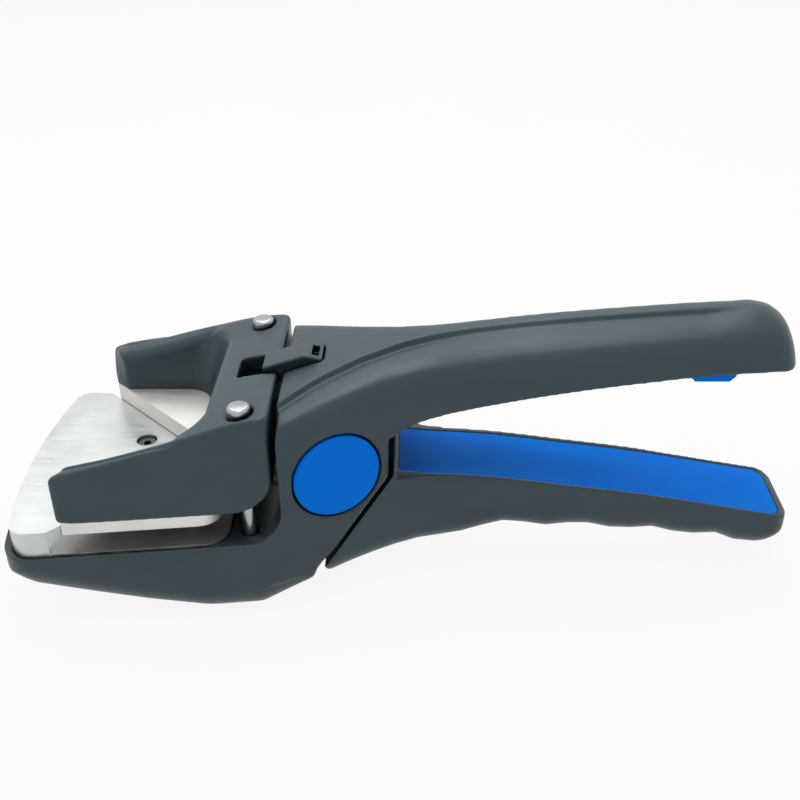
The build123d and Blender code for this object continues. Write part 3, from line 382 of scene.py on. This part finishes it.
# Lower edge of the shoulder band, where the flank begins
BAND_EDGE = ((7.5, 30.4, 60.6), (10.3, 28.8, 61.5), (21.2, 22.9, 64.6), (34.2, 17.0, 66.9),
             (42.0, 13.9, 67.9), (50.0, 12.1, 68.8), (58.0, 11.6, 69.7), (69.0, 11.4, 71.1),
             (90.0, 11.0, 73.9), (111.0, 10.3, 76.4), (132.0, 9.6, 78.4), (142.0, 9.2, 78.4))
# Along X, the grip is full from the first place on and gone before the second
GRIP = (66, 42)
# Half of how far the lines of the far side stand out beyond the near ones, and how much less on the grip
FAR_SHIFT, FAR_SHIFT_LESS = 1.9, 0.9
# Depth of the step at the crease, how much less on the grip, and its width outward and inward
STEP, STEP_LESS, STEP_OUT, STEP_IN = 2.3, 0.9, 1.7, -0.2
# Hollow of the band, four times its depth halfway across
BAND_HOLLOW = 2.6
# The band is sunk in this direction
BAND_INWARD, BAND_DOWN = 0.5, 0.87
# Where the band has its full depth and where it is gone: along X, in height, and above its lower edge
BAND_ALONG, BAND_HEIGHT, BAND_ABOVE = (124, 138), (57, 53), (-1.5, -3.5)
# How far the underside is raised at places along X, below the belly and below the nose,
# and the heights at which that is full and gone
BELLY_X = (-58, -30, -11, 3, 13, 20, 27, 33)
BELLY_UP = (-0.6, -0.8, 0.0, 0.0, 1.1, 1.5, 1.2, 0.0)
BELLY_HEIGHT = (10, 20)
NOSE_X = (-71, -68, -65, -62, -59)
NOSE_UP = (4.5, 3.6, 2.2, 0.8, 0.0)
NOSE_HEIGHT = (22, 26.5)
# Easing of the surface near the band's edge and near the crease: distances of full and none, and turns
EDGE_EASE, EDGE_TURNS = (1.5, 5), 30
CREASE_EASE, CREASE_SHARE, CREASE_TURNS = (3, 6), 0.8, 4


def carve_body(spots, ends):
    """Step and shoulder band below the top of the upper handle, and a changed line of the underside."""
    grip = fade(spots[:, 0], *GRIP)
    # The far side of the ridge stands further out, where the crest's outline is
    both = folded(spots, FAR_SHIFT - FAR_SHIFT_LESS * grip)
    crease, outward = from_line(both, CREASE)
    edge, beyond = from_line(both, BAND_EDGE)
    across = crease / (crease + np.maximum(-beyond, 0) + TINY)
    step = (STEP - STEP_LESS * grip) * fade(outward, STEP_OUT, STEP_IN)
    hollow = BAND_HOLLOW * across * (1 - across)
    depth = np.where(outward > STEP_IN, step * (1 - across) + hollow, 0)
    edge_x, _, edge_z = zip(*BAND_EDGE)
    above = spots[:, 2] - np.interp(spots[:, 0], edge_x, edge_z)
    depth *= (fade(spots[:, 0], *BAND_ALONG) * fade(spots[:, 2], *BAND_HEIGHT)
              * fade(above, *BAND_ABOVE))
    spots[:, 1] -= BAND_INWARD * depth * np.sign(spots[:, 1])
    spots[:, 2] -= BAND_DOWN * depth
    spots[:, 2] += np.interp(spots[:, 0], BELLY_X, BELLY_UP) * fade(spots[:, 2], *BELLY_HEIGHT)
    spots[:, 2] += np.interp(spots[:, 0], NOSE_X, NOSE_UP) * fade(spots[:, 2], *NOSE_HEIGHT)
    spots = relax(spots, ends, fade(edge, *EDGE_EASE), EDGE_TURNS)
    return relax(spots, ends, fade(crease, *CREASE_EASE) * CREASE_SHARE, CREASE_TURNS)


# Yoke

# Radius of the roll along the inside of each arm, by its side, and where the arms begin along Y
ROLL_RADIUS = {"far": 4.0, "near": 2.7}
ARM_INSIDE = 29.8
# The roll is full in front of the first place along X and gone behind the second
ROLL_ALONG = (-19, -13)
# Easing of the rolled surface: share of full easing, and turns
ROLL_SHARE, ROLL_TURNS = 0.8, 4
# The height of the arm's top is read at steps along X: front, length of a step, number of the last
ARM_FRONT, CROWN_STEP, CROWN_LAST = -52, 0.5, 200
# Soft line beside the roll: its depth, half width and distance, and how far below the top it fades
LINE_DEPTH, LINE_HALF, LINE_AWAY, LINE_BELOW = 0.7, 0.6, 0.1, (0.6, 1.6)
# Outer front corner of an arm, and its easing: distances of full and none, and turns
ARM_CORNER = ((-49.5, 35.8, 38), (-49.5, 35.8, 50))
CORNER_EASE, CORNER_TURNS = (2.5, 6), 30
# How much longer the arms are, and where along X
ARM_LONGER, ARM_LONGER_ALONG = 1.7, (-49, -34)
# Slot in front of the latch: half its width, its ends along X, the height of its floor, how near to
# that height a point of the floor lies, and how much deeper the floor goes
SLOT_HALF, SLOT_ENDS, SLOT_FLOOR, FLOOR_REACH, SLOT_DEEPER = 5.3, (-6, 4.5), 57.8, 0.9, 3.0
# How far the far edge stands out and up, and where across Y and in height
FAR_OUT, FAR_OUT_ACROSS = 2.2, (35, 30)
FAR_UP, FAR_UP_ACROSS = 0.8, (32, 18)
FAR_HEIGHT = (50, 42)


def roll_arms(spots, ends):
    """Wide roll along the inside of the arms, with a soft line beside it."""
    x, side, z = spots[:, 0], np.abs(spots[:, 1]), spots[:, 2]
    place = np.clip(((x - ARM_FRONT) / CROWN_STEP).astype(int), 0, CROWN_LAST)
    crown = np.zeros(CROWN_LAST + 1)
    on_arm = side > ARM_INSIDE
    np.maximum.at(crown, place[on_arm], z[on_arm])
    below = crown[place] - z
    roll = np.where(spots[:, 1] > 0, ROLL_RADIUS["far"], ROLL_RADIUS["near"])
    # Points outside the roll's circle are drawn in to it
    low, across = roll - below, roll - (side - ARM_INSIDE)
    reach = np.hypot(low, across)
    over = (low > 0) & (across > 0) & (reach > roll) & (x < ROLL_ALONG[1]) & (side > ARM_INSIDE - 1)
    along = fade(x, *ROLL_ALONG)
    pull = np.where(over, (reach - roll) / np.maximum(reach, TINY), 0) * along
    spots = spots + np.stack([0 * x, np.sign(spots[:, 1]) * across * pull, -low * pull], axis=1)
    line = np.exp(-((side - ARM_INSIDE - roll - LINE_AWAY) / LINE_HALF) ** 2)
    spots[:, 2] -= LINE_DEPTH * (line * fade(below, *LINE_BELOW)) * along
    return relax(spots, ends, over * ROLL_SHARE, ROLL_TURNS)


def carve_yoke(spots, ends):
    """Rolled arms with rounded tips, a deeper latch slot, and the far edge a little further out."""
    spots = roll_arms(spots, ends)
    tip, _ = from_line(folded(spots), ARM_CORNER)
    spots = relax(spots, ends, fade(tip, *CORNER_EASE), CORNER_TURNS)
    spots[:, 0] -= ARM_LONGER * fade(spots[:, 0], *ARM_LONGER_ALONG)
    on_floor = np.abs(spots[:, 2] - SLOT_FLOOR) < FLOOR_REACH
    between_ends = (spots[:, 0] > SLOT_ENDS[0]) & (spots[:, 0] < SLOT_ENDS[1])
    between_sides = np.abs(spots[:, 1]) < SLOT_HALF
    spots[:, 2] -= np.where(on_floor & between_ends & between_sides, SLOT_DEEPER, 0)
    spots[:, 1] += FAR_OUT * fade(spots[:, 1], *FAR_OUT_ACROSS) * fade(spots[:, 2], *FAR_HEIGHT)
    spots[:, 2] += FAR_UP * fade(spots[:, 1], *FAR_UP_ACROSS) * fade(spots[:, 2], *FAR_HEIGHT)
    return spots


# Guide posts: place across Y, and radius and height from the root to the crown of the head
POST_SIDE = 25.6
POST_LINE = ((0.0, 11.0), (2.1, 11.0), (2.1, 62.6), (3.0, 62.6), (3.15, 62.8), (3.15, 65.2),
             (3.07, 65.6), (2.85, 65.9), (2.5, 66.1), (2.0, 66.2), (0.0, 66.2))
# Edges that turn by more than this many degrees stay sharp
SHARP = 40


def turn(name, line, centre, body, material, steps=72):
    """A turned piece in place of its CAD node, from its half outline in millimetres."""
    mesh = bpy.data.meshes.new(name + "_turned")
    form = bmesh.new()
    rings = []
    for radius, height in line:
        angles = [2 * math.pi * k / steps for k in range(steps if radius else 1)]
        ring = [((centre[0] + radius * math.cos(angle)) * MM,
                 (centre[1] + radius * math.sin(angle)) * MM, height * MM) for angle in angles]
        rings.append([form.verts.new(spot) for spot in ring])
    for low, high in zip(rings, rings[1:]):
        for k in range(steps):
            lower = (low[k % len(low)], low[(k + 1) % len(low)])
            upper = (high[(k + 1) % len(high)], high[k % len(high)])
            corners = list(dict.fromkeys(lower + upper))
            if len(corners) > 2:
                form.faces.new(corners).smooth = True
    bmesh.ops.recalc_face_normals(form, faces=form.faces)
    form.to_mesh(mesh)
    form.free()
    mesh.materials.append(material)
    mesh.set_sharp_from_angle(angle=math.radians(SHARP))
    piece = bpy.data.objects.new(name + "_turned", mesh)
    bpy.context.scene.collection.objects.link(piece)
    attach(piece, body)
    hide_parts(name)


def press_spring(material):
    """The return spring in place of its CAD node, attached to the body, in the CAD node's own form."""
    mesh = nodes["jaw_spring"].data.copy()
    mesh.materials.clear()
    mesh.materials.append(material)
    spring = bpy.data.objects.new("jaw_spring_coil", mesh)
    bpy.context.scene.collection.objects.link(spring)
    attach(spring, "body")
    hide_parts("jaw_spring")
    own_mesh(spring)


# Room

# Share of the floor's own glow in what the camera and reflections see of it
FLOOR_GLOW = 0.9
FLOOR_HALF = 3.0
# Strength of the white room as a light
ROOM_FILL = 0.46
# Soft lamps: place and size in metres, power in watts
LAMPS = {"overhead": ((0.03, 0.0, 0.85), (0.6, 0.22), 2.2),
         "back_light": ((-0.10, 0.38, 0.70), (0.9, 0.5), 2.3)}
LAMP_AIM = (0.04, 0.0, 0.04)
# Camera, from a fit to the tool's own corners: place in metres, angles in degrees, lens in mm
CAMERA_PLACE = (0.0488, -0.2640, 0.2099)
CAMERA_YAW, CAMERA_DROP, CAMERA_ROLL = -1.551, 30.806, -0.884
LENS, SENSOR, CLIP_START = 48.15, 36.0, 0.01


def pale_floor():
    """Seamless white paper: bright to the camera, with the object's soft shadow on it."""
    f = Finish("pale_floor", "#eaeaea", Roughness=0.9)
    f.feed("Base Color", f.shade(f.noise(60, 2.0), "#eeeeee"))
    glow = f.node("ShaderNodeEmission", Color=WHITE, Strength=1.0)
    seen = seen_by(f.tree, "Is Camera Ray", "Is Glossy Ray")
    part = f.node("ShaderNodeMath", {0: seen}, operation="MULTIPLY")
    part.inputs[1].default_value = FLOOR_GLOW
    both = f.node("ShaderNodeMixShader", {0: part.outputs[0], 1: f.shader.outputs[0], 2: glow.outputs[0]})
    f.tree.links.new(both.outputs[0], f.tree.nodes["Material Output"].inputs["Surface"])
    return f.material


def lay_floor():
    """A flat floor under the tool."""
    mesh = bpy.data.meshes.new("floor")
    corners = [(FLOOR_HALF * x, FLOOR_HALF * y, 0) for x, y in ((-1, -1), (1, -1), (1, 1), (-1, 1))]
    mesh.from_pydata(corners, [], [(0, 1, 2, 3)])
    mesh.materials.append(pale_floor())
    floor = bpy.data.objects.new("floor", mesh)
    bpy.context.scene.collection.objects.link(floor)


def hang_lamp(name, place, size, power):
    """A soft oblong lamp, turned to the tool."""
    lamp = bpy.data.lights.new(name, "AREA")
    lamp.shape = "RECTANGLE"
    lamp.size, lamp.size_y = size
    lamp.energy = power
    made = bpy.data.objects.new(name, lamp)
    made.location = place
    made.rotation_euler = (Vector(LAMP_AIM) - Vector(place)).to_track_quat("-Z", "Y").to_euler()
    bpy.context.scene.collection.objects.link(made)


def light_room():
    """White room: it shows to the camera and in reflections, and fills the shadows softly."""
    world = bpy.data.worlds.new("room")
    bpy.context.scene.world = world
    world.use_nodes = True
    tree = world.node_tree
    dim = tree.nodes["Background"]
    dim.inputs["Color"].default_value = WHITE
    dim.inputs["Strength"].default_value = ROOM_FILL
    bright = add_node(tree, "ShaderNodeBackground", Color=WHITE, Strength=1.0)
    seen = seen_by(tree, "Is Camera Ray", "Is Glossy Ray", "Is Transmission Ray")
    both = add_node(tree, "ShaderNodeMixShader", {0: seen, 1: dim.outputs[0], 2: bright.outputs[0]})
    tree.links.new(both.outputs[0], tree.nodes["World Output"].inputs["Surface"])
    for name, (place, size, power) in LAMPS.items():
        hang_lamp(name, place, size, power)


def set_camera():
    """Camera at the photograph's viewing angle."""
    yaw, drop, roll = (math.radians(angle) for angle in (CAMERA_YAW, CAMERA_DROP, CAMERA_ROLL))
    look = Vector((math.sin(yaw) * math.cos(drop), math.cos(yaw) * math.cos(drop), -math.sin(drop)))
    level = Vector((math.cos(yaw), -math.sin(yaw), 0.0))
    upright = level.cross(look)
    right = math.cos(roll) * level + math.sin(roll) * upright
    up = math.cos(roll) * upright - math.sin(roll) * level
    lens = bpy.data.cameras.new("camera")
    lens.sensor_width = SENSOR
    lens.lens = LENS
    lens.clip_start = CLIP_START
    made = bpy.data.objects.new("camera", lens)
    made.matrix_world = Matrix((right, up, -look)).transposed().to_4x4()
    made.location = CAMERA_PLACE
    bpy.context.scene.collection.objects.link(made)
    bpy.context.scene.camera = made


# The tool, dressed

nylon = moulded_nylon()
pin_steel = turned_pin_steel()
wire = drawn_wire()

dress(nylon, "body_housing", "jaw_yoke", "lower_handle", "latch_bar")
dress(dyed_abs(), "pivot_cap_near", "pivot_cap_far", "handle_inlay", "bumper_pad")
dress(brushed_bed_steel(), "bed_plate")
dress(ground_die_steel(), "upper_die")
dress(pin_steel, "guide_post_near", "guide_post_far", "pivot_pin", "drive_pin", "latch_plunger")
dress(black_oxide(), "bed_screw_near", "bed_screw_far", "die_screw_near", "die_screw_far",
      "bracket_screw_near", "bracket_screw_far", "lever_screw_front", "lever_screw_rear")
dress(sintered_bronze(), "guide_bush_near", "guide_bush_far", "pivot_bush")
dress(blackened_casting(), "lever_arm")
dress(wire, "jaw_spring")
dress(zinc_plate(), "drive_bracket")

soften("lower_handle", voxel=0.5, turns=6)
soften("latch_bar", voxel=0.12, turns=2)
turn("guide_post_near", POST_LINE, (0.0, -POST_SIDE), "body", pin_steel)
turn("guide_post_far", POST_LINE, (0.0, POST_SIDE), "body", pin_steel)
press_spring(wire)
recast("body_housing", "body", voxel=0.5, turns=6, sculpt=carve_body, material=nylon)
recast("jaw_yoke", "jaw", voxel=0.4, turns=5, sculpt=carve_yoke, material=nylon)

bpy.context.scene.view_settings.view_transform = "Standard"
lay_floor()
light_room()
set_camera()
